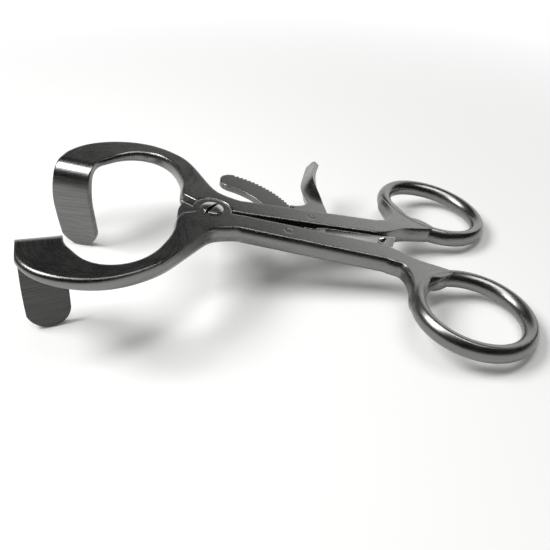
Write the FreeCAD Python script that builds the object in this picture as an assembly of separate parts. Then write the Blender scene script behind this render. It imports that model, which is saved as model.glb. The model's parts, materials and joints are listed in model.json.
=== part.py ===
import FreeCAD, Part
import math
import os

# Self-retaining two-arm spreader with finger rings. Millimetres.
# Working frame: main pivot at the origin, X along the mirror axis towards the rings,
# Y towards the far arm, Z up, Z = 0 at half the height of the arms.
# All solids are tipped and moved at the end so that the part stands on its
# two blade tips and its two rings.

V = FreeCAD.Vector

# Arms
ARM_HEIGHT = 5.0
GRIND_ALLOWANCE = 0.05          # loft stock that is ground off the flats
SIDE_BULGE = 0.8                # convex sides of the shanks
JAW_DROOP = 0.13                # slope of the jaws below the shanks
DROOP_START_X = -7.7

# Flat top face of one arm as (outer edge, inner edge) pairs
SHANK_RING_END = ((48.0, 10.1), (48.0, 3.3))
SHANK_JOINT_END = ((9.0, 7.4), (9.0, 0.95))
# From the shank along the side of the ring that faces the other arm, with the height there
INNER_BRANCH = (
    ((48.0, 10.1), (48.0, 3.3), ARM_HEIGHT),
    ((50.8, 10.3), (50.8, 3.6), ARM_HEIGHT),
    ((54.5, 11.0), (54.5, 5.2), ARM_HEIGHT),
    ((59.0, 13.6), (59.0, 8.1), ARM_HEIGHT),
    ((64.0, 16.0), (64.0, 9.7), ARM_HEIGHT),
    ((69.5, 13.2), (69.5, 11.1), 4.8),
    ((75.0, 12.0), (75.0, 11.0), 3.6),
)
# From the shank round the outer corner to the near side of the ring
OUTER_BRANCH = (
    ((50.8, 10.3), (50.8, 5.0), ARM_HEIGHT),
    ((54.4, 11.5), (56.2, 6.8), ARM_HEIGHT),
    ((56.5, 14.0), (62.4, 13.0), ARM_HEIGHT),
    ((57.0, 18.8), (61.3, 19.1), ARM_HEIGHT),
    ((56.0, 24.0), (59.0, 24.2), 4.6),
    ((56.2, 29.4), (57.6, 29.5), 3.4),
)
NECK_STATIONS = (
    ((9.0, 7.4), (9.0, 0.95)),
    ((6.0, 7.8), (4.6, 0.7)),
    ((1.2, 10.0), (-3.5, 1.5)),
    ((-1.2, 12.8), (-8.6, 6.0)),
    ((-3.7, 17.2), (-9.3, 12.0)),
    ((-6.9, 23.0), (-10.4, 18.0)),
    ((-10.6, 28.6), (-12.4, 23.4)),
    ((-16.0, 33.5), (-15.4, 27.8)),
    ((-23.0, 37.1), (-20.2, 31.0)),
    ((-31.0, 38.0), (-26.2, 31.5)),
    ((-38.4, 36.3), (-30.9, 29.2)),
    ((-44.6, 31.6), (-34.2, 25.8)),
)
FULL_HEIGHT_STATIONS = 4        # of them, before the jaw starts to thin

# Blades
BLADE_WIDTH = 12.3
BLADE_THICKNESS = 2.2
BLADE_DEPTH = 33.9              # below the flats of the shanks
BLADE_TURN = 16.0               # of its faces from the mirror plane
BEND_CENTRE = (-42.6, 23.2)     # middle of the line where the bend starts
BEND_ARCS = ((5.5, 72.0), (22.0, 28.0))     # radius of its convex face and angle, tight then easy
BLADE_EDGE_RADIUS = 140.0       # of the outer edge of bend and blade
BLADE_WIDEST = 1.0              # below the end of the bend
BEND_SIDE_BULGE = 0.02          # what is left of the convex sides at the bend
TIP_ALLOWANCE = 0.05            # of a round tip's radius over half the width

# Finger rings
RING_CENTRE = (73.3, 27.2)
RING_LONG_RADIUS = 17.3         # of the highest line of the ring
RING_FLATTENING = 0.9           # by which its short radius is less
RING_ARC_OFFSET = 2.0           # of the centres of its tighter arcs, on the long axis
RING_LEAN = -36.0
RING_OUTER_SWELL = 1.3          # beyond that line
RING_INNER_SWELL = 3.2          # inside that line
RING_STEP = 0.01                # of its highest line below the flats

# Half-lap joint and its screw
BOSS_RADIUS = 5.6
LAP_DISC_RADIUS = 6.4
NOSE_REACH = 9.6                # of the lower half's nose, between the jaws
LAP_GAP = 0.3
LAP_FACE_GAP = 0.05
LAP_STOP_ANGLE = 147.0          # where the far arm is full height again
LAP_EDGE_ANGLE = 211.0          # where the near arm is
LAP_TRAVEL = 45.0
SCREW_RADIUS = 2.0
SCREW_HEAD_RADIUS = 3.1
SCREW_HEAD_SEAT = 1.1           # depth of the counterbore
SCREW_HEAD_RIM = 0.35           # rim above the flat
SCREW_HEAD_CROWN = 0.45
SCREW_SLOT_WIDTH = 0.9
SCREW_SLOT_DEPTH = 0.8
SCREW_SLOT_ANGLE = 62.0
RUNNING_GAP = 0.05

# Toothed rack
RACK_OUTER_RADIUS = 26.7
RACK_WIDTH = 8.0
RACK_THICKNESS = 1.8
RACK_TIP_ANGLE = 75.8
TOOTH_PITCH = 3.0               # degrees
TOOTH_DEPTH = 0.65
TEETH_BEFORE_PAWL = 2
TEETH_AFTER_PAWL = 16
PAWL_ANGLE = 28.0
RACK_SEAT_REACH = 7.15          # of its root, into the near shank
RIVET_RADIUS = 1.1
RIVET_EDGE = 1.2                # metal between the rivet and the rack's root
SLOT_GAP = 0.1
LEVER_SLOT_GAP = 0.9

# Release lever
LEVER_THICKNESS = 1.8
LEVER_RACK_GAP = 0.75           # between its flank and the teeth
NOSE_GAP = 0.06                 # nose to tooth tips when it is just lifted
NOSE_HALF_ANGLE = 1.15
PIN_FROM_RACK = 3.12            # pin's centre to the tooth tips
PIN_ANGLE = 9.7
PIN_RADIUS = 0.9
LEVER_REACH = 8.9               # of the plate, beyond the tooth tips
LEVER_SHOULDER_Y = 17.0
TAB_WIDTH = 5.2
TAB_END_ANGLE = 57.0

# Leaf spring on the inner side of the far shank
SPRING_THICKNESS = 0.6
SPRING_HEIGHT = 3.2
SPRING_END_X = 56.0
SPRING_TIP_FROM_RACK = 4.2
SPRING_RISE = 3.0               # length of the bent stretch before the flat one
SPRING_SCREW_X = 52.2
SPRING_SEAT_RUNOUT = 2.5        # of the milled seat beyond the strip's flat
SPRING_SCREW_RADIUS = 0.8
SPRING_HEAD_RADIUS = 1.4
SPRING_HEAD_HEIGHT = 0.9
SPRING_SCREW_DEPTH = 4.0

HALF = ARM_HEIGHT / 2.0


def polar(radius, degrees, z=0.0):
    angle = math.radians(degrees)
    return V(radius * math.cos(angle), radius * math.sin(angle), z)


def box(x0, x1, y0, y1, z0, z1):
    return Part.makeBox(x1 - x0, y1 - y0, z1 - z0, V(x0, y0, z0))


def cylinder(radius, z0, z1, x=0.0, y=0.0):
    return Part.makeCylinder(radius, z1 - z0, V(x, y, z0))


def plate(edges, z0, z1):
    """A flat plate from the edges of its outline."""
    face = Part.Face(Part.Wire(edges))
    face.translate(V(0, 0, z0))
    return face.extrude(V(0, 0, z1 - z0))


def polyline(points):
    return [Part.makeLine(a, b) for a, b in zip(points[:-1], points[1:])]


def arc(a, through, b):
    return Part.Arc(a, through, b).toShape()


def section(outer, inner, up, height, bulge):
    """One cross-section: flat top and bottom, convex sides."""
    across = (outer - inner).normalize()
    down = up * -height
    middle = down * 0.5
    outer_low = outer + down
    inner_low = inner + down
    return Part.Wire([
        Part.makeLine(inner, outer),
        arc(outer, outer + middle + across * bulge, outer_low),
        Part.makeLine(outer_low, inner_low),
        arc(inner_low, inner + middle - across * bulge, inner),
    ])


def flat_height(x):
    """Height of the arm's top face, with the stock to be ground off."""
    return HALF + GRIND_ALLOWANCE - JAW_DROOP * max(0.0, DROOP_START_X - x)


def station(pair, height, bulge):
    (ox, oy), (ix, iy) = pair
    outer = V(ox, oy, flat_height(ox))
    inner = V(ix, iy, flat_height(ix))
    return section(outer, inner, V(0, 0, 1), height, bulge)


def jaw_frame():
    """Across the end of the jaw to its outer edge, the way it heads, and up from its flat."""
    droop = math.atan(JAW_DROOP)
    turn = math.radians(BLADE_TURN)
    back = V(math.cos(droop), 0, math.sin(droop))
    across = back * -math.cos(turn) + V(0, math.sin(turn), 0)
    heading = back * -math.sin(turn) - V(0, math.cos(turn), 0)
    return across, heading, across.cross(heading)


def bend_start():
    x, y = BEND_CENTRE
    return V(x, y, flat_height(x))


def turned(face, heading, degrees):
    """The way a strip faces and heads once it has bent by an angle."""
    angle = math.radians(degrees)
    return (face * math.cos(angle) + heading * math.sin(angle),
            heading * math.cos(angle) - face * math.sin(angle))


def blade_frame():
    """Middle of the blade's convex face below the bend, the way it looks, the way down."""
    across, heading, face = jaw_frame()
    point = bend_start()
    for radius, degrees in BEND_ARCS:
        centre = point - face * radius
        face, heading = turned(face, heading, degrees)
        point = centre + face * radius
    return point, face, heading


def blade_length():
    top, face, down = blade_frame()
    return (top.z - HALF + BLADE_DEPTH) / -down.z


def blade_section(middle, up):
    reach = jaw_frame()[0] * (BLADE_WIDTH / 2)
    down = up * -BLADE_THICKNESS
    return Part.makePolygon([middle - reach, middle + reach, middle + reach + down,
                             middle - reach + down, middle - reach])


def bend_section():
    """End of the jaw, where its sides have flattened out to the edges of the blade."""
    across, heading, up = jaw_frame()
    reach = across * (BLADE_WIDTH / 2)
    return section(bend_start() + reach, bend_start() - reach, up, BLADE_THICKNESS,
                   BEND_SIDE_BULGE)


def tip_radius():
    return BLADE_WIDTH / 2 + TIP_ALLOWANCE


def jaw_loft():
    """From the shank past the joint and round the jaw to the bend, thinning from the joint."""
    full = ARM_HEIGHT + 2 * GRIND_ALLOWANCE
    count = len(NECK_STATIONS) - FULL_HEIGHT_STATIONS + 1.0
    wires = []
    for index, pair in enumerate(NECK_STATIONS):
        share = max(0.0, (index - FULL_HEIGHT_STATIONS + 1) / count)
        height = full + (BLADE_THICKNESS - full) * share ** 1.3
        wires.append(station(pair, height, SIDE_BULGE))
    wires.append(bend_section())
    return Part.makeLoft(wires, True, False)


def blade():
    """The bend in two arcs and the flat blade below it, with a half-round tip."""
    across, heading, face = jaw_frame()
    point = bend_start()
    bends = []
    for radius, degrees in BEND_ARCS:
        centre = point - face * radius
        strip = Part.Face(blade_section(point, face))
        bends.append(strip.revolve(centre, face.cross(heading), degrees))
        face, heading = turned(face, heading, degrees)
        point = centre + face * radius
    flat = Part.Face(blade_section(point, face)).extrude(heading * blade_length())
    tip = point + heading * (blade_length() - tip_radius())
    cutter = rounded_end_cutter(tip, heading, across, face, tip_radius())
    return flat.cut(cutter).fuse(bends)


def rounded_end_cutter(centre, along, across, through, radius):
    """Removes what lies past a half-round end: centre of the round, way to the end."""
    size = radius * 4
    corner = centre - across * size - through * size
    block = Part.Face(Part.makePolygon([
        corner,
        corner + across * (2 * size),
        corner + across * (2 * size) + along * size,
        corner + along * size,
        corner,
    ])).extrude(through * (2 * size))
    rod = Part.makeCylinder(radius, 2 * size, centre - through * size, through)
    return block.cut(rod)


def ring_section(crest, outward):
    """Section of the ring: a steep outer side, a fuller inner one, highest where they meet."""
    rise = V(0, 0, HALF - RING_STEP)
    out = crest + outward * RING_OUTER_SWELL
    inside = crest - outward * RING_INNER_SWELL
    return Part.Face(Part.Wire([
        arc(crest + rise, out, crest - rise),
        arc(crest - rise, inside, crest + rise),
    ]))


def ring():
    """Oval ring of four tangent arcs."""
    offset = RING_ARC_OFFSET
    gain = offset - RING_FLATTENING
    other = (offset * offset - gain * gain) / (2 * gain)
    tight = math.degrees(math.atan2(other, offset))
    centre = V(RING_CENTRE[0], RING_CENTRE[1], 0)
    arcs = []
    for side in (0, 180):
        for middle, radius, away, half in (
                (side, RING_LONG_RADIUS - offset, offset, tight),
                (side + 90, ring_short_radius() + other, -other, 90 - tight)):
            hub = centre + polar(away, RING_LEAN + middle)
            start = polar(1, RING_LEAN + middle - half)
            face = ring_section(hub + start * radius, start)
            arcs.append(face.revolve(hub, V(0, 0, 1), 2 * half))
    return arcs


def ring_short_radius():
    return RING_LONG_RADIUS - RING_FLATTENING


def branch(stations):
    """Loft from the shank into the ring; it thins evenly about half height."""
    wires = []
    for (ox, oy), (ix, iy), height in stations:
        top = height / 2 + GRIND_ALLOWANCE
        wires.append(section(V(ox, oy, top), V(ix, iy, top), V(0, 0, 1), 2 * top,
                             SIDE_BULGE * height / ARM_HEIGHT))
    return Part.makeLoft(wires, True, False)


def blade_edge_round():
    """Cylinder that the outer edge of bend and blade is ground to."""
    across = jaw_frame()[0]
    point, face, down = blade_frame()
    centre = point + across * (BLADE_WIDTH / 2 - BLADE_EDGE_RADIUS) + down * BLADE_WIDEST
    reach = BLADE_EDGE_RADIUS / 2
    return Part.makeCylinder(BLADE_EDGE_RADIUS, 2 * reach, centre - face * reach, face)


def arm_blank():
    """Ring, shank, neck, jaw and blade of the far arm, with no joint yet."""
    full = ARM_HEIGHT + 2 * GRIND_ALLOWANCE
    ends = [station(pair, full, SIDE_BULGE) for pair in (SHANK_RING_END, SHANK_JOINT_END)]
    body = Part.makeLoft(ends, True, True)
    jaw = jaw_loft().fuse(blade()).common(blade_edge_round())
    body = body.fuse([branch(INNER_BRANCH), branch(OUTER_BRANCH), jaw])
    reach = 200
    top_stock = box(-reach, reach, -reach, reach, HALF, HALF + 5)
    bottom_stock = box(DROOP_START_X, reach, -reach, reach, -HALF - 5, -HALF)
    return body.cut([top_stock, bottom_stock]).fuse(ring())


def mirrored(shape):
    return shape.mirror(V(0, 0, 0), V(0, 1, 0))


def sector(radius, z0, z1, first, last):
    """A slice of a disc between two angles."""
    middle = (first + last) / 2.0
    edges = [
        Part.makeLine(V(0, 0, 0), polar(radius, first)),
        arc(polar(radius, first), polar(radius, middle), polar(radius, last)),
        Part.makeLine(polar(radius, last), V(0, 0, 0)),
    ]
    return plate(edges, z0, z1)


def rack_bar(tooth_depth=TOOTH_DEPTH):
    """Curved bar, concentric with the pivot, with ratchet teeth on its outer edge."""
    inner = RACK_OUTER_RADIUS - RACK_WIDTH
    middle = RACK_OUTER_RADIUS - RACK_WIDTH / 2
    root_y = -RACK_SEAT_REACH
    low_outer = math.degrees(math.asin(root_y / RACK_OUTER_RADIUS))
    low_inner = math.degrees(math.asin(root_y / inner))
    z0 = -RACK_THICKNESS / 2
    tip = polar(middle, RACK_TIP_ANGLE)
    beyond = polar(RACK_WIDTH / 2, RACK_TIP_ANGLE + 90)
    bar = plate([
        arc(polar(RACK_OUTER_RADIUS, low_outer),
            polar(RACK_OUTER_RADIUS, RACK_TIP_ANGLE / 2),
            polar(RACK_OUTER_RADIUS, RACK_TIP_ANGLE)),
        arc(polar(RACK_OUTER_RADIUS, RACK_TIP_ANGLE), tip + beyond,
            polar(inner, RACK_TIP_ANGLE)),
        arc(polar(inner, RACK_TIP_ANGLE), polar(inner, RACK_TIP_ANGLE / 2),
            polar(inner, low_inner)),
        Part.makeLine(polar(inner, low_inner), polar(RACK_OUTER_RADIUS, low_outer)),
    ], z0, -z0)
    notches = []
    for index in range(-TEETH_BEFORE_PAWL, TEETH_AFTER_PAWL + 1):
        angle = PAWL_ANGLE + index * TOOTH_PITCH
        deep = RACK_OUTER_RADIUS - tooth_depth
        proud = RACK_OUTER_RADIUS + 0.3
        points = [
            polar(deep, angle - 0.12 * TOOTH_PITCH),
            polar(deep, angle + 0.12 * TOOTH_PITCH),
            polar(proud, angle + 0.22 * TOOTH_PITCH),
            polar(proud, angle - 0.72 * TOOTH_PITCH),
            polar(deep, angle - 0.12 * TOOTH_PITCH),
        ]
        notches.append(plate(polyline(points), z0 - 1, -z0 + 1))
    return bar.cut(notches)


def rivet_centre():
    middle = RACK_OUTER_RADIUS - RACK_WIDTH / 2
    y = RIVET_RADIUS + RIVET_EDGE - RACK_SEAT_REACH
    return V(math.sqrt(middle * middle - y * y), y, 0)


def pin_centre():
    return polar(RACK_OUTER_RADIUS + PIN_FROM_RACK, PIN_ANGLE)


def near_arm(blank):
    """Arm with the upper half of the lap joint, fixed rack and screw head seat."""
    body = mirrored(blank)
    below = -HALF - 1
    above = HALF + 1
    middle = LAP_FACE_GAP / 2
    body = body.cut([
        cylinder(BOSS_RADIUS, below, above),
        sector(NOSE_REACH + LAP_GAP, below, above, 0.0, LAP_EDGE_ANGLE),
        sector(NOSE_REACH + LAP_GAP, below, middle, LAP_EDGE_ANGLE - 1,
               LAP_EDGE_ANGLE + LAP_TRAVEL),
        cylinder(LAP_DISC_RADIUS + LAP_GAP, below, middle),
    ])
    rivet = rivet_centre()
    return body.fuse(cylinder(BOSS_RADIUS, middle, HALF)).cut([
        cylinder(SCREW_RADIUS + RUNNING_GAP, -HALF, above),
        cylinder(SCREW_HEAD_RADIUS + RUNNING_GAP, HALF - SCREW_HEAD_SEAT, above),
        rack_bar(0.0),
        cylinder(RIVET_RADIUS, below, above, rivet.x, rivet.y),
    ])


def far_arm(blank):
    """Arm with the lower half of the lap joint and the slot for rack and lever."""
    below = -HALF - 1
    middle = -LAP_FACE_GAP / 2
    body = blank.cut([
        cylinder(BOSS_RADIUS + LAP_GAP, middle, HALF + 1),
        sector(LAP_DISC_RADIUS * 3, middle, HALF + 1, LAP_STOP_ANGLE, 270.0),
    ])
    nose = sector(NOSE_REACH, -HALF, middle, LAP_STOP_ANGLE - 25, LAP_EDGE_ANGLE)
    body = body.fuse([nose, cylinder(LAP_DISC_RADIUS, -HALF, middle)])
    slot_half = RACK_THICKNESS / 2 + SLOT_GAP
    slot_start = RACK_OUTER_RADIUS - RACK_WIDTH - LAP_GAP
    slot = box(slot_start / 2, RACK_OUTER_RADIUS + LEVER_REACH + LEVER_SLOT_GAP,
               -2, slot_start, -slot_half, slot_half)
    pin = pin_centre()
    return body.cut([
        slot.cut(cylinder(slot_start, -HALF, HALF)),
        cylinder(SCREW_RADIUS, below, HALF),
        cylinder(PIN_RADIUS, below, HALF + 1, pin.x, pin.y),
        spring_screw_rod(),
        spring_seat(),
    ])


def pivot_screw():
    """Slotted screw: shank through both halves of the joint, domed head on top."""
    seat = HALF - SCREW_HEAD_SEAT
    rim = HALF + SCREW_HEAD_RIM
    crown = rim + SCREW_HEAD_CROWN
    half_section = [
        Part.makeLine(V(0, 0, -HALF), V(SCREW_RADIUS, 0, -HALF)),
        Part.makeLine(V(SCREW_RADIUS, 0, -HALF), V(SCREW_RADIUS, 0, seat)),
        Part.makeLine(V(SCREW_RADIUS, 0, seat), V(SCREW_HEAD_RADIUS, 0, seat)),
        Part.makeLine(V(SCREW_HEAD_RADIUS, 0, seat), V(SCREW_HEAD_RADIUS, 0, rim)),
        arc(V(SCREW_HEAD_RADIUS, 0, rim),
            V(SCREW_HEAD_RADIUS * 0.6, 0, rim + SCREW_HEAD_CROWN * 0.72),
            V(0, 0, crown)),
        Part.makeLine(V(0, 0, crown), V(0, 0, -HALF)),
    ]
    screw = Part.Face(Part.Wire(half_section)).revolve(V(0, 0, 0), V(0, 0, 1), 360)
    reach = SCREW_HEAD_RADIUS + 1
    slot = box(-reach, reach, -SCREW_SLOT_WIDTH / 2, SCREW_SLOT_WIDTH / 2,
               crown - SCREW_SLOT_DEPTH, crown + 1)
    slot.rotate(V(0, 0, 0), V(0, 0, 1), SCREW_SLOT_ANGLE)
    return screw.cut(slot)


def lever_x(beyond):
    """Place along X of a point of the lever, from how far it lies beyond the tooth tips."""
    return RACK_OUTER_RADIUS + beyond


def tab_sections():
    """The thumb tab: a strip that leaves the plate flat and twists half upright."""
    half = LEVER_THICKNESS / 2
    shoulder = LEVER_SHOULDER_Y
    stations = (
        (V(lever_x(5.6), shoulder - 1.5, 0.0), 0.0, 1.0),
        (V(lever_x(5.2), shoulder + 2.5, 0.0), 0.08, 1.0),
        (V(lever_x(4.4), shoulder + 8.0, 0.2), 0.42, 0.98),
        (V(lever_x(4.2), shoulder + 13.0, 0.4), 0.80, 0.94),
        (V(lever_x(4.8), shoulder + 18.5, 0.6), 0.98, 0.88),
        (V(lever_x(6.8), shoulder + 27.8, 0.9), 1.0, 0.82),
    )
    wires = []
    for index, (centre, turn_share, width_share) in enumerate(stations):
        before = stations[max(index - 1, 0)][0]
        after = stations[min(index + 1, len(stations) - 1)][0]
        along = (after - before).normalize()
        turn = FreeCAD.Rotation(along, -TAB_END_ANGLE * turn_share)
        across = turn.multVec(along.cross(V(0, 0, 1)).normalize())
        side = across * (TAB_WIDTH / 2 * width_share)
        up = turn.multVec(V(0, 0, 1)) * half
        wires.append(Part.makePolygon([centre + side + up, centre - side + up,
                                       centre - side - up, centre + side - up,
                                       centre + side + up]))
    return wires, centre, along, across, side.Length


def thumb_tab():
    wires, end, along, across, half_width = tab_sections()
    radius = half_width + TIP_ALLOWANCE
    cutter = rounded_end_cutter(end - along * radius, along, across,
                                along.cross(across), radius)
    return Part.makeLoft(wires, True, False).cut(cutter)


def release_lever():
    """Pawl nose, plate in the slot, tail under the spring and thumb tab."""
    flank = RACK_OUTER_RADIUS + LEVER_RACK_GAP
    nose = RACK_OUTER_RADIUS + NOSE_GAP
    half = LEVER_THICKNESS / 2
    tail = polar(flank, 2.4)
    heel = V(lever_x(4.9), tail.y, 0)
    back = V(lever_x(LEVER_REACH), 8.0, 0)
    right = V(lever_x(8.1), LEVER_SHOULDER_Y, 0)
    left = V(lever_x(3.1), LEVER_SHOULDER_Y, 0)
    before_nose = polar(flank, PAWL_ANGLE - NOSE_HALF_ANGLE)
    behind_nose = polar(flank, PAWL_ANGLE + NOSE_HALF_ANGLE * 0.5)
    tip_low = polar(nose, PAWL_ANGLE - 0.25)
    tip_high = polar(nose, PAWL_ANGLE + 0.2)
    body = plate([
        arc(tail, polar(flank, 14.0), before_nose),
        Part.makeLine(before_nose, tip_low),
        Part.makeLine(tip_low, tip_high),
        Part.makeLine(tip_high, behind_nose),
        arc(behind_nose, V(lever_x(1.0), LEVER_SHOULDER_Y - 2.8, 0), left),
        Part.makeLine(left, right),
        arc(right, V(lever_x(8.75), 12.5, 0), back),
        arc(back, V(lever_x(6.9), 3.6, 0), heel),
        Part.makeLine(heel, tail),
    ], -half, half)
    pin = pin_centre()
    hole = cylinder(PIN_RADIUS + RUNNING_GAP, -HALF, HALF, pin.x, pin.y)
    return body.fuse(thumb_tab()).cut(hole)


def inner_side_y(x):
    """Inner side of the far shank at half height, between two of its stations."""
    (x0, y0), (x1, y1) = SHANK_JOINT_END[1], SHANK_RING_END[1]
    return y0 + (y1 - y0) * (x - x0) / (x1 - x0) - SIDE_BULGE


def spring_line():
    """Direction of the spring strip and the point where its seat starts."""
    start_x = lever_x(SPRING_TIP_FROM_RACK) + SPRING_RISE
    start = V(start_x, inner_side_y(start_x), 0)
    end = V(SPRING_END_X, inner_side_y(SPRING_END_X), 0)
    along = (end - start).normalize()
    return start, end, along


def spring_seat():
    """Flat milled into the convex inner side, so that the strip lies on it."""
    start, end, along = spring_line()
    out = V(along.y, -along.x, 0)
    depth = SIDE_BULGE * 0.5
    a = start - along * SPRING_SEAT_RUNOUT - out * depth
    b = end + along * SPRING_SEAT_RUNOUT - out * depth
    edges = polyline([a, b, b + out * 5, a + out * 5, a])
    half = SPRING_HEIGHT / 2 + SLOT_GAP
    return plate(edges, -half, half)


def spring_outline():
    start, end, along = spring_line()
    out = V(along.y, -along.x, 0)
    depth = SIDE_BULGE * 0.5
    back = out * (-depth)
    front = out * (SPRING_THICKNESS - depth)
    tip_x = lever_x(SPRING_TIP_FROM_RACK)
    lift = V(tip_x + 1.2, 1.25, 0)
    tip = V(tip_x, 0.62, 0)
    skin = V(0.25, -1, 0).normalize() * SPRING_THICKNESS
    return [
        Part.makeLine(start + back, end + back),
        Part.makeLine(end + back, end + front),
        Part.makeLine(end + front, start + front),
        Part.makeLine(start + front, lift + skin),
        Part.makeLine(lift + skin, tip + skin),
        Part.makeLine(tip + skin, tip),
        Part.makeLine(tip, lift),
        Part.makeLine(lift, start + back),
    ]


def leaf_spring():
    half = SPRING_HEIGHT / 2
    strip = plate(spring_outline(), -half, half)
    return strip.cut(spring_screw_rod())


def spring_screw_frame():
    start, end, along = spring_line()
    out = V(along.y, -along.x, 0)
    seat = start + along * ((SPRING_SCREW_X - start.x) / along.x)
    return seat + out * (SPRING_THICKNESS - SIDE_BULGE * 0.5), out


def spring_screw_rod():
    head_seat, out = spring_screw_frame()
    return Part.makeCylinder(SPRING_SCREW_RADIUS, SPRING_SCREW_DEPTH,
                             head_seat - out * SPRING_SCREW_DEPTH, out)


def spring_screw():
    head_seat, out = spring_screw_frame()
    dome = (SPRING_HEAD_RADIUS ** 2 + SPRING_HEAD_HEIGHT ** 2) / (2 * SPRING_HEAD_HEIGHT)
    ball = Part.makeSphere(dome, head_seat + out * (SPRING_HEAD_HEIGHT - dome))
    head = Part.makeCylinder(SPRING_HEAD_RADIUS, SPRING_HEAD_HEIGHT, head_seat, out)
    return head.common(ball).fuse(spring_screw_rod())


def resting_tilt():
    """Tilt about Y at which the blade tips and the rings touch the table together."""
    top, face, along = blade_frame()
    tip = top + along * (blade_length() - tip_radius()) - face * BLADE_THICKNESS
    lean = math.radians(RING_LEAN)
    ring_reach = math.hypot(RING_LONG_RADIUS * math.cos(lean),
                            ring_short_radius() * math.sin(lean))
    tilt = 0.2
    for _ in range(30):
        down = V(math.sin(tilt), 0, -math.cos(tilt))
        in_plane = (down - face * (down * face)).Length
        blade_low = tip * down + tip_radius() * in_plane
        ring_low = (RING_CENTRE[0] + ring_reach) * math.sin(tilt) + HALF * math.cos(tilt)
        tilt = tilt + (blade_low - ring_low) / 150.0
    return math.degrees(tilt)


def build():
    blank = arm_blank()
    pin = pin_centre()
    rivet = rivet_centre()
    return {
        "near_arm": near_arm(blank),
        "far_arm": far_arm(blank),
        "pivot_screw": pivot_screw(),
        "rack": rack_bar().cut(cylinder(RIVET_RADIUS, -HALF, HALF, rivet.x, rivet.y)),
        "rack_rivet": cylinder(RIVET_RADIUS, -HALF, HALF, rivet.x, rivet.y),
        "release_lever": release_lever(),
        "lever_pin": cylinder(PIN_RADIUS, -HALF, HALF, pin.x, pin.y),
        "leaf_spring": leaf_spring(),
        "spring_screw": spring_screw(),
    }


def main():
    nodes = build()
    tilt = resting_tilt()
    for shape in nodes.values():
        shape.rotate(V(0, 0, 0), V(0, 1, 0), tilt)
    whole = Part.makeCompound(list(nodes.values()))
    bounds = whole.optimalBoundingBox(False, False)
    shift = V(-bounds.Center.x, -bounds.Center.y, -bounds.ZMin)
    os.makedirs("parts", exist_ok=True)
    for name, shape in nodes.items():
        shape.translate(shift)
        shape.exportStep("parts/" + name + ".step")
        print(name, len(shape.Solids), "solid", round(shape.Volume, 2), "mm3",
              "valid" if shape.isValid() else "NOT VALID")
    print("tilt", tilt, "shift", list(shift))
    print("size", round(bounds.XLength, 2), round(bounds.YLength, 2), round(bounds.ZLength, 2))


main()
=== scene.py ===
# %% [markdown]
# A ratchet mouth gag in stainless steel: two crossed arms, a screw, a toothed rack, a release
# lever and a leaf spring. The shapes come ready from the frame, because they are hard metal and
# the CAD already has them exact. What Blender adds is how the metal catches the light: broken
# edges, brushing that follows each arm, and a studio that a shiny object can mirror.

# %% Load the frame
import bpy
import json
import math
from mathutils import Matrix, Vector


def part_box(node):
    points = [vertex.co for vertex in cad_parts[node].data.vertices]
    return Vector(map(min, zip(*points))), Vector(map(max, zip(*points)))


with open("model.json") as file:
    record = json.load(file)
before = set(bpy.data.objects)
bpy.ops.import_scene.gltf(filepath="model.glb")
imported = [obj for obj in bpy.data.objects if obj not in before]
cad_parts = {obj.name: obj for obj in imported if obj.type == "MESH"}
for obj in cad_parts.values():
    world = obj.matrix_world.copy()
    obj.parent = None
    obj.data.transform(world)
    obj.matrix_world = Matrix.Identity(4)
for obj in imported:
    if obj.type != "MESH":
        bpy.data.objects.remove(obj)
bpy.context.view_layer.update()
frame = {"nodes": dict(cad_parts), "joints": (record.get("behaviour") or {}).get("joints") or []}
MM = 0.001
print("pieces:", sorted(frame["nodes"]))

# %% [markdown]
# Shaders are node trees, and long chains of Math nodes are hard to read as code. A small class
# that wraps one output socket lets the maths be written as plain Python: `1 - mask * 0.5` adds
# the nodes for it. Every other kind of node comes from one method of the finish it belongs to.

# %% A socket that can be calculated with
class Value:
    """One output of a node tree. Arithmetic on it adds Math nodes."""

    def __init__(self, finish, socket):
        self.finish = finish
        self.socket = socket

    def maths(self, operation, *values):
        return self.finish.node("Math", {"operation": operation}, dict(enumerate(values)))

    def __add__(self, other):
        return self.maths("ADD", self, other)

    def __radd__(self, other):
        return self.maths("ADD", other, self)

    def __sub__(self, other):
        return self.maths("SUBTRACT", self, other)

    def __rsub__(self, other):
        return self.maths("SUBTRACT", other, self)

    def __mul__(self, other):
        return self.maths("MULTIPLY", self, other)

    def __rmul__(self, other):
        return self.maths("MULTIPLY", other, self)

    def power(self, exponent):
        return self.maths("POWER", self, exponent)

    def absolute(self):
        return self.maths("ABSOLUTE", self)

    def atan2(self, other):
        return self.maths("ARCTAN2", self, other)

    def above(self, limit):
        return self.maths("GREATER_THAN", self, limit)

    def below(self, limit):
        return self.maths("LESS_THAN", self, limit)


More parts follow.
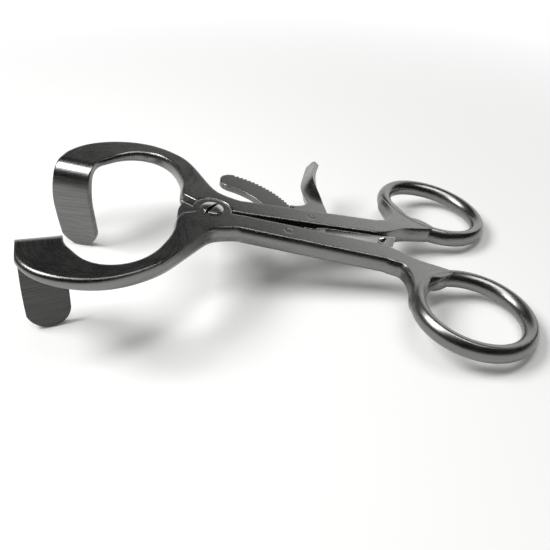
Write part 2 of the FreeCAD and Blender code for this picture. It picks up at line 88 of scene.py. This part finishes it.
# %% A finish, with one method for any node
class Finish:
    """A material under construction: a name, a node tree and its main shader."""

    def __init__(self, name):
        self.material = bpy.data.materials.new(name)
        self.material.use_nodes = True
        self.tree = self.material.node_tree
        self.shader = self.tree.nodes["Principled BSDF"]

    def join(self, value, socket):
        if isinstance(value, Value):
            self.tree.links.new(value.socket, socket)
        else:
            socket.default_value = value

    def node(self, kind, settings=None, sockets=None, output=0, **named):
        """Any node: its settings first, then its sockets, by number or by name.
        Numbers are for nodes whose sockets share a name. In a name, _ stands for a space."""
        made = self.tree.nodes.new("ShaderNode" + kind)
        for name, setting in (settings or {}).items():
            setattr(made, name, setting)
        for number, value in (sockets or {}).items():
            self.join(value, made.inputs[number])
        for name, value in named.items():
            self.join(value, made.inputs[name.replace("_", " ")])
        return Value(self, made.outputs[output])

    def place(self):
        """Where a point is on its piece, in metres; it stays the same when the piece moves."""
        return self.node("TexCoord", output="Object")

    def axis(self, vector, letter):
        return self.node("SeparateXYZ", output=letter, Vector=vector)

    def vector(self, x, y, z):
        return self.node("CombineXYZ", X=x, Y=y, Z=z)

    def noise(self, vector, scale, detail=2.0, roughness=0.5):
        return self.node("TexNoise", Vector=vector, Scale=scale, Detail=detail,
                         Roughness=roughness)

    def spread(self, value, low, high, new_low, new_high):
        """Stretches a range of values onto another one, and stops at its ends."""
        return self.node("MapRange", {"clamp": True}, Value=value, From_Min=low,
                         From_Max=high, To_Min=new_low, To_Max=new_high)

    def blend_colours(self, share, first, second):
        return self.node("Mix", {"data_type": "RGBA"}, {0: share, 6: first, 7: second}, output=2)

    def shades(self, share, level, low, high):
        """Steel between two shades, both given as parts of its level."""
        return self.blend_colours(share, grey(level * low), grey(level * high))

    def blend_normals(self, share, first, second):
        return self.node("Mix", {"data_type": "VECTOR"}, {0: share, 4: first, 5: second},
                         output=1)

    def bump(self, height, distance, strength, normal):
        return self.node("Bump", Height=height, Distance=distance, Strength=strength,
                         Normal=normal)

    def set(self, name, value):
        self.join(value, self.shader.inputs[name])

    def metal(self, colour, roughness, normal):
        """Sets the main shader to bare metal."""
        self.set("Base Color", colour)
        self.set("Metallic", 1.0)
        self.set("Roughness", roughness)
        self.set("Normal", normal)
        return self.material


def grey(level):
    """Steel and studio grey, a touch warm."""
    return (level, level, level * 0.985, 1.0)


print("helpers ready")

# %% [markdown]
# No edge on a surgical instrument is sharp: each is broken with a stone, and that narrow round
# is what draws the bright line along every arm. A bevel modifier could cut it, but on a dense
# CAD mesh it makes lumps where small faces meet. The Bevel node bends only the light: within a
# given radius of an edge it turns the surface normal smoothly from one face to the other. The
# rings get a smaller radius, because a wide one shows up the small faces where they join.

# %% Broken edges
EDGE_RADIUS = {
    "arm": 0.85, "ring": 0.30, "rack": 0.50, "lever": 0.40, "screw": 0.20, "spring": 0.16,
    "pin": 0.03,
}
EDGE_SAMPLES = 8


def broken_edge(finish, radius):
    """The surface normal with every edge rounded to a radius in mm."""
    return finish.node("Bevel", {"samples": EDGE_SAMPLES}, Radius=radius * MM)


print("edge radii in mm:", EDGE_RADIUS)

# %% [markdown]
# A finish that changes along an arm has to know where the jaw ends and the ring begins. Those
# places could be typed in, but measured from the frame they stay right if the part changes
# size. The arms also stand tilted on the table, so heights are taken along the screw.

# %% Measure where the jaws and rings are
arm_low, arm_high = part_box("far_arm")
screw_low, screw_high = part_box("pivot_screw")
# In mm: a ring's radius and how far it reaches towards the shank, a jaw's radius and how far
# aside its middle is, and how far in front of the screw the jaws end.
RING_RADIUS, RING_REACH = 18.0, 17.0
JAW_RADIUS, JAW_ASIDE = 24.0, 19.0
LAP_REACH = 2.0
PIVOT_X = (screw_low.x + screw_high.x) / 2
RING_MIDDLE_X = arm_high.x - RING_RADIUS * MM
RING_MIDDLE_Y = arm_high.y - RING_RADIUS * MM
JAW_MIDDLE_X = arm_low.x + JAW_RADIUS * MM
JAW_MIDDLE_Y = JAW_ASIDE * MM
JAW_ENDS_X = PIVOT_X - LAP_REACH * MM
RING_STARTS_X = RING_MIDDLE_X - RING_REACH * MM
print("screw at x %.1f mm, ring middle (%.1f, %.1f) mm" % (
    PIVOT_X / MM, RING_MIDDLE_X / MM, RING_MIDDLE_Y / MM))

hinge = next(joint for joint in frame["joints"] if joint["name"] == "arm_hinge")
HINGE = Vector(hinge["pos_m"])
HINGE_AXIS = Vector(hinge["axis"])
ALONG_AXIS = Vector((HINGE_AXIS.z, 0.0, -HINGE_AXIS.x))


def measured_from_screw(finish, place, direction):
    """Distance from the screw's middle in one direction of the tilted arms."""
    return ((finish.axis(place, "X") - HINGE.x) * direction.x
            + (finish.axis(place, "Z") - HINGE.z) * direction.z)


def over_the_flats(finish, place):
    """Height over the middle of the arms."""
    return measured_from_screw(finish, place, HINGE_AXIS)


def along_the_arms(finish, place):
    """Distance from the screw towards the rings."""
    return measured_from_screw(finish, place, ALONG_AXIS)


def from_the_middle(finish, place):
    """Distance to either side of the line between the arms."""
    return finish.axis(place, "Y").absolute()


print("arms tilted by %.1f degrees" % math.degrees(math.atan2(HINGE_AXIS.x, HINGE_AXIS.z)))

# %% [markdown]
# Some places on an arm are coloured unlike the rest. The blade is brushed crosswise, and its
# darker colour is painted shade and reflection. The nose between the jaws is left rough, as
# nobody can reach it with a grinding belt; its dark colour is partly that rough steel and partly
# painted shade of the hollow between the jaws.
# The walls that face each other between the shanks are darkened with painted shade. The upper
# flats beside the rings get a painted sheen that makes them brighter. They could be painted by
# hand, but a mask that is three or four comparisons multiplied together needs no image and fits
# both arms.

# %% Limits of the special places, in mm: heights and lengths from the screw, X in the frame
# The blade's darker colour, set below these heights, is painted shade and reflection.
BLADE_FADES, BLADE_FULL, BLADE_ENDS_X = -3.0, -6.0, -35.0
# The nose's dark colour is partly rough steel and partly painted shade of its hollow.
NOSE_NEAR, NOSE_FAR, NOSE_FRONT, NOSE_TOP, NOSE_SIDE = 5.9, 10.4, -3.0, 2.3, 7.0
# The walls between the shanks get painted shade within these limits.
WALL_FULL, WALL_FADES = 3.6, 4.6
WALL_TOP, WALL_BOTTOM, WALL_FROM, WALL_TO = 2.1, -2.3, 6.0, 56.0
# The upper flats by the rings get a painted sheen within these limits.
SHEEN_UNDER, SHEEN_TOP, SHEEN_FROM, SHEEN_TO = 2.0, 2.45, 14.0, 58.0
print("nose from %.1f to %.1f mm" % (NOSE_NEAR, NOSE_FAR))


# %% Masks for the special places
def blade_share(finish, place):
    """1 on a blade, which hangs below the flats at the end of its jaw."""
    low = finish.spread(over_the_flats(finish, place), BLADE_FULL * MM, BLADE_FADES * MM,
                        1.0, 0.0)
    return low * finish.axis(place, "X").below(BLADE_ENDS_X * MM)


def nose_share(finish, place):
    """1 on the rough nose in front of the screw, where the jaws meet; it gets painted shade too.
    """
    along = along_the_arms(finish, place)
    aside = from_the_middle(finish, place)
    reach = (along * along + aside * aside).power(0.5)
    return (reach.above(NOSE_NEAR * MM) * reach.below(NOSE_FAR * MM)
            * along.below(NOSE_FRONT * MM)
            * over_the_flats(finish, place).below(NOSE_TOP * MM) * aside.below(NOSE_SIDE * MM))


def wall_shade_share(finish, place):
    """1 on the walls that face each other between the shanks, which get painted shade."""
    along = along_the_arms(finish, place)
    height = over_the_flats(finish, place)
    aside = finish.spread(from_the_middle(finish, place), WALL_FULL * MM, WALL_FADES * MM,
                          1.0, 0.0)
    return (aside * height.below(WALL_TOP * MM) * height.above(WALL_BOTTOM * MM)
            * along.above(WALL_FROM * MM) * along.below(WALL_TO * MM))


def ring_share(finish, place):
    """1 on the ring and the flat beside it, where the edges are finer."""
    return finish.spread(finish.axis(place, "X"), RING_STARTS_X - 4 * MM,
                         RING_STARTS_X + 1 * MM, 0.0, 1.0)


def painted_sheen_share(finish, place):
    """1 on the upper flats beside the rings, which get a painted sheen."""
    top = finish.spread(over_the_flats(finish, place), SHEEN_UNDER * MM, SHEEN_TOP * MM,
                        0.0, 1.0)
    return top * finish.spread(along_the_arms(finish, place), SHEEN_FROM * MM,
                               SHEEN_TO * MM, 0.0, 1.0)


print("masks ready")

# %% [markdown]
# The arms are ground after forging, and a grinder follows the form: straight along the shanks,
# round the jaws and round the rings. Scratches that ran one way through everything would look
# like wallpaper, so the pattern is laid out in polar coordinates about the middle of each jaw
# and ring, along the shank between them, and level across the blades.

# %% Scratches that follow the form
ALONG_STREAK = 0.03
ROUND_STREAK = 0.0005


def streaks(finish, lines):
    """The noise that every brushing pattern shares; the coordinates stretch it into lines."""
    return finish.noise(lines, 1.0, detail=3.0, roughness=0.6)


def brushed_lines(finish, place, middle_x, middle_y, fineness):
    """Streaks that run round one middle: long along the circle, fine across it."""
    x = finish.axis(place, "X") - middle_x
    y = from_the_middle(finish, place) - middle_y
    radius = (x * x + y * y).power(0.5)
    return streaks(finish, finish.vector(radius * fineness,
                                         y.atan2(x) * (fineness * ROUND_STREAK),
                                         finish.axis(place, "Z") * fineness))


def scaled_lines(finish, place, x, y, z):
    """Streaks that are long along an axis with a small number and fine along the others."""
    return streaks(finish, finish.vector(finish.axis(place, "X") * x,
                                         finish.axis(place, "Y") * y,
                                         finish.axis(place, "Z") * z))


def straight_lines(finish, place, fineness):
    """Streaks along a shank or along the spring."""
    return scaled_lines(finish, place, fineness * ALONG_STREAK, fineness, fineness)


def level_lines(finish, place, fineness):
    """Streaks across a blade, level with the table."""
    return scaled_lines(finish, place, fineness * ALONG_STREAK, fineness * ALONG_STREAK,
                        fineness)


def across_lines(finish, place, fineness):
    """Streaks along Y, for the lever's tab."""
    return scaled_lines(finish, place, fineness, fineness * ALONG_STREAK, fineness)


def rack_lines(finish, place, fineness):
    """Streaks round the screw, the way the rack's flats were ground."""
    return brushed_lines(finish, place, PIVOT_X, 0.0, fineness)


def form_brushing(finish, place, fineness):
    """Jaw, shank, ring and blade brushing joined, each on its own stretch of the arm."""
    x = finish.axis(place, "X")
    at_jaw = finish.spread(x, JAW_ENDS_X - 4 * MM, JAW_ENDS_X + 4 * MM, 1.0, 0.0)
    at_ring = finish.spread(x, RING_STARTS_X - 3 * MM, RING_STARTS_X + 3 * MM, 0.0, 1.0)
    at_blade = blade_share(finish, place)
    jaw = brushed_lines(finish, place, JAW_MIDDLE_X, JAW_MIDDLE_Y, fineness)
    ring = brushed_lines(finish, place, RING_MIDDLE_X, RING_MIDDLE_Y, fineness)
    shank = straight_lines(finish, place, fineness)
    blade = level_lines(finish, place, fineness)
    flats = jaw * at_jaw + ring * at_ring + shank * (1 - at_jaw - at_ring)
    return flats * (1 - at_blade) + blade * at_blade


print("brushing ready")

# %% [markdown]
# Satin steel is a mirror with tiny scratches. The scratches do three things: they roughen the
# reflection, they tilt the surface a little, and where they are dense they change its shade.
# One pattern therefore feeds roughness, bump and colour. A slow cloud of second noise keeps the
# large flats from looking printed, as handled metal never is quite even. The arms then get
# their special places laid over this, one mask at a time. A shade is a part of the steel's own
# level, so a piece can be made lighter or darker with one number.

# %% Shades and marks of satin steel
MARK_DEPTH = 0.003
SATIN_FINENESS = 3200.0
CLOUD_SHADES, STREAK_SHADE, STREAK_STRENGTH = (0.88, 1.0), 1.22, 0.6
BLADE_SHADES, ROUGH_AND_HOLLOW_SHADES, SHEEN_SHADES = (0.72, 1.2), (0.22, 0.75), (1.15, 1.55)
WALL_SHADE, WALL_STRENGTH = 0.12, 0.85
STREAK_GLOSS, CLOUD_GLOSS, FORGED_GLOSS = 0.06, 0.05, 0.22
PIT_SCALE, PIT_HEIGHT = 1500.0, 16.0
print("marks %.3f mm deep" % MARK_DEPTH)


# %% Satin steel for the arms, rack and lever
def satin_steel(name, level, roughness, edge, brushing, blade_shade_level=None):
    """Only an arm gets a blade level: painted shade and reflection that darken its blade.
    An arm also has a nose and inner walls.
    """
    finish = Finish(name)
    place = finish.place()
    scratches = brushing(finish, place, SATIN_FINENESS)
    wear = finish.spread(scratches, 0.30, 0.70, 0.0, 1.0)
    tone = finish.spread(finish.noise(place, 130.0, detail=4.0), 0.3, 0.7, 0.0, 1.0)
    clouded = finish.shades(tone, level, *CLOUD_SHADES)
    colour = finish.blend_colours(wear * STREAK_STRENGTH, clouded, grey(level * STREAK_SHADE))
    gloss = roughness + (wear - 0.5) * STREAK_GLOSS + (tone - 0.5) * CLOUD_GLOSS
    relief = scratches
    rounded = broken_edge(finish, edge)
    if blade_shade_level is not None:
        pits = finish.noise(place, PIT_SCALE, detail=5.0, roughness=0.7)
        dents = finish.spread(pits, 0.35, 0.65, 0.0, 1.0)
        rough = nose_share(finish, place)
        wall = wall_shade_share(finish, place)
        for share, steel in (
                # The blade's darker level is painted shade and reflection.
                (blade_share(finish, place), finish.shades(wear, blade_shade_level, *BLADE_SHADES)),
                # The nose's colour is rough mottled steel with painted shade of the hollow.
                (rough, finish.shades(dents, level, *ROUGH_AND_HOLLOW_SHADES)),
                # Painted shade on the walls between the shanks.
                (wall * WALL_STRENGTH, grey(level * WALL_SHADE)),
                # Painted sheen on the upper flats by the rings.
                (painted_sheen_share(finish, place), finish.shades(wear, level, *SHEEN_SHADES))):
            colour = finish.blend_colours(share, colour, steel)
        gloss = gloss + rough * FORGED_GLOSS
        relief = scratches * (1 - rough) + pits * rough * PIT_HEIGHT
        rounded = finish.blend_normals(ring_share(finish, place), rounded,
                                       broken_edge(finish, EDGE_RADIUS["ring"]))
    return finish.metal(colour, gloss, finish.bump(relief, MARK_DEPTH * MM, 0.25, rounded))


print("satin steel ready, %.0f streaks to the metre" % SATIN_FINENESS)

# %% [markdown]
# The screw head was turned on a lathe and polished, so its fine marks are circles about its own
# axis, and it mirrors more sharply than the arms. Its slot is cut in the CAD, and here it gets
# painted shade, a near-black colour that makes the slot readable. The rivet and the pin were
# ground flush with the arms, so they share the arms' level and hardly show. The spring is rolled
# strip: smooth, a little
# brighter, with faint lines along its length.

# %% Turned and rolled steel
SLOT_ANGLE = 62.0
SLOT_HALF_WIDTH = 0.47
# The slot's near-black level is painted shade.
SLOT_SHADE_LEVEL, SLOT_GLOSS = 0.02, 0.35
TURNED_FINENESS, TURNED_SHADES, TURNED_GLOSS = 9000.0, (0.9, 1.0), 0.12
ROLLED_FINENESS, ROLLED_SHADES, ROLLED_GLOSS = 7000.0, (0.92, 1.0), 0.1


def slot_share(finish, place):
    """1 in the screw's slot, which gets painted shade, as little light gets in."""
    turn = math.radians(SLOT_ANGLE)
    across = (finish.axis(place, "Y") * math.cos(turn)
              - along_the_arms(finish, place) * math.sin(turn))
    return across.absolute().below(SLOT_HALF_WIDTH * MM)


def middle_of(node):
    """The middle of a piece's box at rest."""
    low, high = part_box(node)
    return (low + high) / 2


def turned_steel(name, level, roughness, edge, middle, slotted=False):
    """Circles about the upright axis through middle."""
    finish = Finish(name)
    place = finish.place()
    x = finish.axis(place, "X") - middle.x
    y = finish.axis(place, "Y") - middle.y
    radius = (x * x + y * y).power(0.5)
    circles = finish.noise(finish.vector(radius * TURNED_FINENESS, 0.0, 0.0), 1.0, detail=3.0)
    tone = finish.spread(finish.noise(place, 500.0), 0.3, 0.7, 0.0, 1.0)
    colour = finish.shades(tone, level, *TURNED_SHADES)
    gloss = roughness + (circles - 0.5) * TURNED_GLOSS
    if slotted:
        slot = slot_share(finish, place)
        # Painted shade in the slot.
        colour = finish.blend_colours(slot, colour, grey(SLOT_SHADE_LEVEL))
        gloss = gloss + slot * SLOT_GLOSS
    return finish.metal(colour, gloss, finish.bump(circles, MARK_DEPTH * MM, 0.3,
                                                   broken_edge(finish, edge)))


def rolled_steel(name, level, roughness, edge):
    """Faint lines along a strip."""
    finish = Finish(name)
    lines = straight_lines(finish, finish.place(), ROLLED_FINENESS)
    return finish.metal(finish.shades(lines, level, *ROLLED_SHADES),
                        roughness + (lines - 0.5) * ROLLED_GLOSS,
                        finish.bump(lines, MARK_DEPTH * MM, 0.4, broken_edge(finish, edge)))


print("screw middle:", [round(c / MM, 2) for c in middle_of("pivot_screw")], "mm")

# %% [markdown]
# Each piece of metal gets its own finish, even where two are the same kind, because the marks
# on the screw turn about the screw and the marks on the lever run along its tab. One shared
# steel would be shorter to write, but all pieces would then look cut from one block.

# %% Give every piece its finish
finishes = {
    # The blade levels are painted shade and reflection; the near blade is painted darker.
    "near_arm": satin_steel("near arm satin steel", 0.20, 0.28, EDGE_RADIUS["arm"],
                            form_brushing, blade_shade_level=0.075),
    "far_arm": satin_steel("far arm satin steel", 0.20, 0.28, EDGE_RADIUS["arm"],
                           form_brushing, blade_shade_level=0.16),
    "rack": satin_steel("rack satin steel", 0.17, 0.27, EDGE_RADIUS["rack"], rack_lines),
    "release_lever": satin_steel("lever satin steel", 0.24, 0.24, EDGE_RADIUS["lever"],
                                 across_lines),
    "pivot_screw": turned_steel("screw turned steel", 0.58, 0.24, EDGE_RADIUS["screw"],
                                middle_of("pivot_screw"), slotted=True),
    "rack_rivet": turned_steel("rivet turned steel", 0.19, 0.28, EDGE_RADIUS["pin"],
                               middle_of("rack_rivet")),
    "lever_pin": turned_steel("pin turned steel", 0.19, 0.28, EDGE_RADIUS["pin"],
                              middle_of("lever_pin")),
    "spring_screw": turned_steel("small screw turned steel", 0.44, 0.2, EDGE_RADIUS["spring"],
                                 middle_of("spring_screw")),
    "leaf_spring": rolled_steel("spring rolled steel", 0.55, 0.24, EDGE_RADIUS["spring"]),
}
for name, material in finishes.items():
    mesh = frame["nodes"][name].data
    mesh.materials.clear()
    mesh.materials.append(material)
print("finishes:", len(finishes))

# %% [markdown]
# The camera stands close, in front of the near arm and 36 degrees above the table, so that the
# near jaw and ring look larger than the far ones. A longer lens from farther off would flatten
# that, so the place and the lens were found together.

# %% Camera
CAMERA_PLACE = Vector((-5.4, -162.1, 118.2)) * MM
CAMERA_BELOW_HORIZON = 35.9
CAMERA_TURN = -1.6
CAMERA_LENS = 42.55

camera_data = bpy.data.cameras.new("camera")
camera_data.lens = CAMERA_LENS
camera_data.sensor_width = 36.0
camera_data.clip_start = 0.01
camera = bpy.data.objects.new("camera", camera_data)
camera.location = CAMERA_PLACE
camera.rotation_euler = (math.radians(90 - CAMERA_BELOW_HORIZON), 0, math.radians(CAMERA_TURN))
bpy.context.scene.collection.objects.link(camera)
bpy.context.scene.camera = camera
print("camera at", [round(c / MM, 1) for c in CAMERA_PLACE], "mm")

# %% [markdown]
# Steel has almost no colour of its own: what looks like its shading is the room mirrored in it.
# Here the flats mirror a dark wall behind, whose lower edge slopes, so that they turn brighter
# towards the rings. The black bands on the rounds mirror the dark side of the room behind the
# camera, and the pale lines along the edges mirror a bright strip overhead. Real lamps could do
# all of it, but they would wash out the shadows, so these are cards that show only in mirrors.

# %% Table and cards
FAR_STARTS, FAR_FULL = 0.09, 0.30
FAR_LIFT = 0.90
DRUM_STEPS = 24


def white_to_the_eye(finish, share):
    """Lifts a surface towards white where the camera or a mirror sees it, shadows kept."""
    seen = finish.node("LightPath", output="Is Camera Ray")
    mirrored = finish.node("LightPath", output="Is Glossy Ray")
    through = finish.node("LightPath", output="Is Transmission Ray")
    return (seen + mirrored + through) * share


def table_material(name, level, lift):
    """Lifted a little near the object, to keep its shadows, and more farther out."""
    finish = Finish(name)
    place = finish.place()
    x = finish.axis(place, "X")
    y = finish.axis(place, "Y")
    far = finish.spread((x * x + y * y).power(0.5), FAR_STARTS, FAR_FULL, 0.0, 1.0)
    finish.set("Base Color", grey(level))
    finish.set("Roughness", 0.9)
    finish.set("Specular IOR Level", 0.1)
    lit = Value(finish, finish.shader.outputs[0])
    glow = finish.node("Emission", Color=(1, 1, 1, 1), Strength=1.0)
    both = finish.node("MixShader", sockets={
        0: white_to_the_eye(finish, lift + far * FAR_LIFT), 1: lit, 2: glow})
    finish.join(both, finish.tree.nodes["Material Output"].inputs["Surface"])
    return finish.material


def card_material(name, level):
    """A card that glows evenly, so that it mirrors the same from every side."""
    finish = Finish(name)
    finish.set("Base Color", grey(0.0))
    finish.set("Specular IOR Level", 0.0)
    finish.set("Emission Color", grey(1.0))
    finish.set("Emission Strength", level)
    return finish.material


def stage_piece(name, corners, faces, material):
    """A mesh that belongs to the studio and not to the object."""
    mesh = bpy.data.meshes.new(name)
    mesh.from_pydata(corners, [], faces)
    mesh.materials.append(material)
    piece = bpy.data.objects.new(name, mesh)
    bpy.context.scene.collection.objects.link(piece)
    return piece


def level_sheet(name, left, right, front, back, height, material):
    """A flat sheet, level with the table."""
    corners = [(left, front, height), (right, front, height), (right, back, height),
               (left, back, height)]
    return stage_piece(name, corners, [(0, 1, 2, 3)], material)


def only_in_mirrors(piece):
    """Leaves a card to mirror rays alone, so that it gives no light and casts no shadow."""
    piece.visible_camera = False
    piece.visible_diffuse = False
    piece.visible_shadow = False
    piece.visible_transmission = False


def drum_card(name, radius, first, last, low, low_end, high, material):
    """A stretch of a round wall, from one compass angle to another; 0 is behind the camera.
    Its lower edge slopes from low at the first angle to low_end at the last."""
    corners = []
    for step in range(DRUM_STEPS + 1):
        angle = math.radians(first + (last - first) * step / DRUM_STEPS)
        for height in (low + (low_end - low) * step / DRUM_STEPS, high):
            corners.append((radius * math.sin(angle), -radius * math.cos(angle), height))
    faces = [(2 * s, 2 * s + 2, 2 * s + 3, 2 * s + 1) for s in range(DRUM_STEPS)]
    piece = stage_piece(name, corners, faces, material)
    only_in_mirrors(piece)
    return piece


table = level_sheet("table", left=-1.5, right=1.5, front=-1.5, back=1.5, height=0.0,
                    material=table_material("white table", level=0.94, lift=0.10))
front_card = drum_card("front_card", radius=0.50, first=-125, last=125, low=0.0, low_end=0.0,
                       high=0.66, material=card_material("black card", level=0.008))
back_card = drum_card("back_card", radius=0.52, first=115, last=245, low=0.40, low_end=0.08,
                      high=0.70, material=card_material("dim card", level=0.02))
ceiling = level_sheet("ceiling", left=-0.8, right=0.8, front=-0.8, back=0.8, height=0.72,
                      material=card_material("dim ceiling", level=0.03))
only_in_mirrors(ceiling)
strip = level_sheet("strip", left=-0.40, right=0.45, front=-0.20, back=0.10, height=0.60,
                    material=card_material("bright strip", level=4.5))
only_in_mirrors(strip)
print("stage:", table.name, front_card.name, back_card.name, ceiling.name, strip.name)

# %% [markdown]
# Two soft lamps light the table and the metal. The key stands high on the left: it makes the
# highlight at the blade's bend and sends the shadows to the right. The overhead lamp fills them,
# and isn't seen in mirrors, because the strip card does that. The world is dim as a light and
# white to the eye, which gives the background without putting more light on the object.

# %% Lights and world
ROOM_LEVEL = 0.12


def soft_light(name, place, width, depth, power):
    """A rectangular lamp that faces the object."""
    data = bpy.data.lights.new(name, "AREA")
    data.shape = "RECTANGLE"
    data.size = width
    data.size_y = depth
    data.energy = power
    lamp = bpy.data.objects.new(name, data)
    lamp.location = place
    lamp.rotation_euler = (-Vector(place)).to_track_quat("-Z", "Y").to_euler()
    bpy.context.scene.collection.objects.link(lamp)
    return lamp


key = soft_light("key", (-0.36, -0.03, 0.46), width=0.30, depth=0.26, power=3.0)
overhead = soft_light("overhead", (0.05, -0.07, 0.56), width=0.55, depth=0.14, power=1.2)
overhead.visible_glossy = False


class WorldFinish(Finish):
    """The same helpers for the world's node tree."""

    def __init__(self, owner):
        self.tree = owner.node_tree
        self.shader = self.tree.nodes["Background"]


world = bpy.data.worlds.new("studio")
world.use_nodes = True
bpy.context.scene.world = world
room = WorldFinish(world)
room.set("Color", room.blend_colours(white_to_the_eye(room, 1.0), grey(ROOM_LEVEL), grey(1.0)))
room.set("Strength", 1.0)
bpy.context.scene.view_settings.view_transform = "Standard"
print("lights:", [(lamp.name, lamp.data.energy) for lamp in (key, overhead)])
